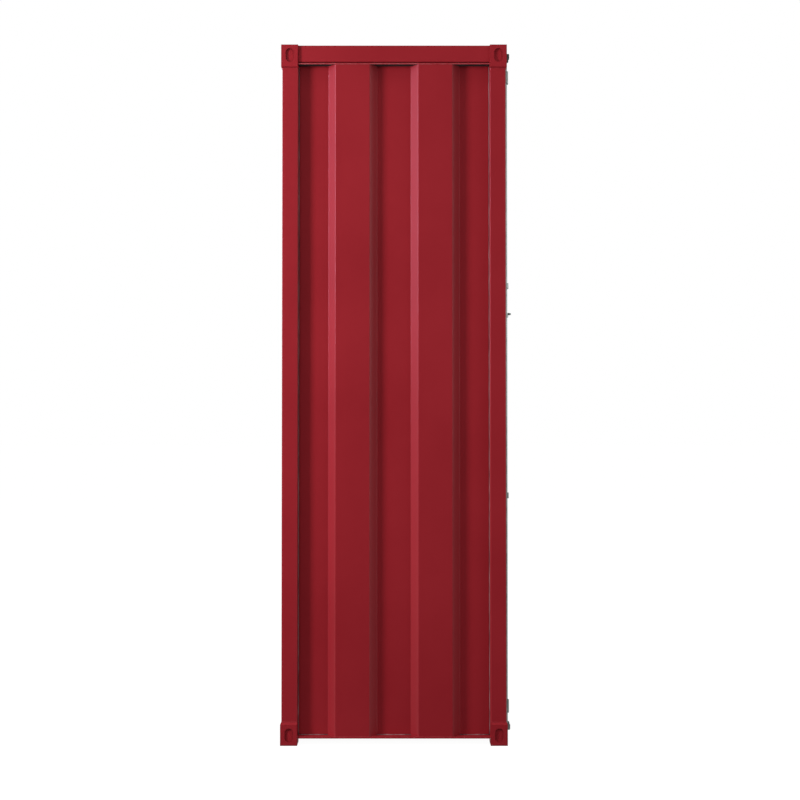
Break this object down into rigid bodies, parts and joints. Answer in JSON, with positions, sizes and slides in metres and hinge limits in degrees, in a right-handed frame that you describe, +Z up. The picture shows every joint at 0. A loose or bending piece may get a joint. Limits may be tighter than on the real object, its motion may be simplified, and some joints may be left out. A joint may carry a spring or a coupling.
{
  "type": "storage locker",
  "caption": "Tall steel storage locker built like a small shipping container: corrugated walls, corner castings, and a hinged door with lock rods and handles.",
  "frame": {"origin": "on the floor, in the middle of the whole object's plan, its front hardware included", "axes": "+Z up, -Y towards the door's front, +X to the right of someone who faces the door"},
  "size_m": [0.6, 0.609, 1.8],
  "materials": {
    "red_coat": "satin powder coat",
    "zinc_steel": "zinc plated",
    "pin_steel": "plain steel",
    "chrome_tube": "bright chrome",
    "seal_rubber": "matt"
  },
  "bodies": {
    "case": {"casting_top_front_left": "red_coat", "casting_bottom_front_left": "red_coat", "post_front_left": "red_coat", "casting_top_rear_left": "red_coat", "casting_bottom_rear_left": "red_coat", "post_rear_left": "red_coat", "top_rail_left": "red_coat", "side_panel_left": "red_coat", "shelf_rail_left": "red_coat", "hanging_rail_cup_left": "zinc_steel", "keeper_top_left": "zinc_steel", "keeper_bottom_left": "zinc_steel", "casting_top_front_right": "red_coat", "casting_bottom_front_right": "red_coat", "post_front_right": "red_coat", "casting_top_rear_right": "red_coat", "casting_bottom_rear_right": "red_coat", "post_rear_right": "red_coat", "top_rail_right": "red_coat", "side_panel_right": "red_coat", "shelf_rail_right": "red_coat", "hanging_rail_cup_right": "zinc_steel", "keeper_top_right": "zinc_steel", "keeper_bottom_right": "zinc_steel", "top_rail_rear": "red_coat", "header": "red_coat", "sill": "red_coat", "back_panel": "red_coat", "roof_panel": "red_coat", "floor_panel": "red_coat", "shelf": "red_coat", "hanging_rail": "chrome_tube", "hinge_post_lugs": "red_coat", "hinge_pins": "pin_steel", "keeper_rivets": "pin_steel"},
    "door": {"door_skin": "red_coat", "door_liner": "red_coat", "door_stiffener_left": "red_coat", "door_stiffener_right": "red_coat", "door_gasket": "seal_rubber", "hinge_straps": "zinc_steel", "rod_guides_left": "zinc_steel", "handle_cup_left": "zinc_steel", "rod_guides_right": "zinc_steel", "handle_cup_right": "zinc_steel", "guide_rivets": "pin_steel", "handle_cup_rivets": "pin_steel", "hinge_strap_rivets": "pin_steel"},
    "left_rod": {"lock_rod_left": "zinc_steel", "cam_top_left": "zinc_steel", "cam_bottom_left": "zinc_steel", "handle_hub_left": "zinc_steel", "handle_left": "zinc_steel"},
    "right_rod": {"lock_rod_right": "zinc_steel", "cam_top_right": "zinc_steel", "cam_bottom_right": "zinc_steel", "handle_hub_right": "zinc_steel", "handle_right": "zinc_steel"}
  },
  "joints": [
    {"name": "door_swing", "type": "hinge", "parent": "case", "child": "door", "pos_m": [0.262, -0.2845, 0], "axis": [0, 0, 1], "range_deg": [0, 180]},
    {"name": "left_rod_turn", "type": "hinge", "parent": "door", "child": "left_rod", "pos_m": [-0.2155, -0.2775, 0], "axis": [0, 0, -1], "range_deg": [0, 90]},
    {"name": "right_rod_turn", "type": "hinge", "parent": "door", "child": "right_rod", "pos_m": [0.2155, -0.2775, 0], "axis": [0, 0, 1], "range_deg": [0, 90]}
  ]
}
